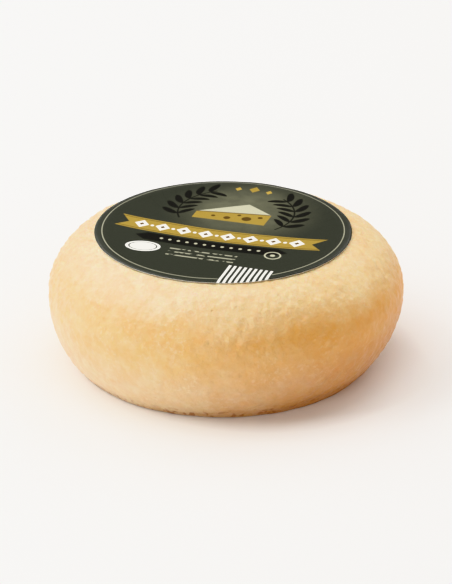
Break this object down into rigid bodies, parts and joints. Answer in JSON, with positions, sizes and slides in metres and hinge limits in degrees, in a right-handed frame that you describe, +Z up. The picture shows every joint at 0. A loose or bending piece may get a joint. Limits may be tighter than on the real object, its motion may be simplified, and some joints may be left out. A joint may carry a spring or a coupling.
{
  "type": "small semi-cured cheese wheel",
  "caption": "Small round semi-cured cheese wheel with a rounded golden rind and a round dark paper label on its top.",
  "frame": {"origin": "centre of the flat foot that the wheel rests on", "axes": "+Z up through the wheel's middle, from the foot to the labelled top; the label's print reads from the -Y side; +X is the side that bulges most"},
  "size_m": [0.0976, 0.0968, 0.0376],
  "materials": {
    "rind": "waxy satin natural rind, pale golden cream, mottled and finely pebbled, browner at the foot",
    "label_paper": "coated paper printed dark grey-green with gold, black and cream fields"
  },
  "bodies": {
    "root": {"cheese": "rind", "label": "label_paper"}
  },
  "joints": []
}
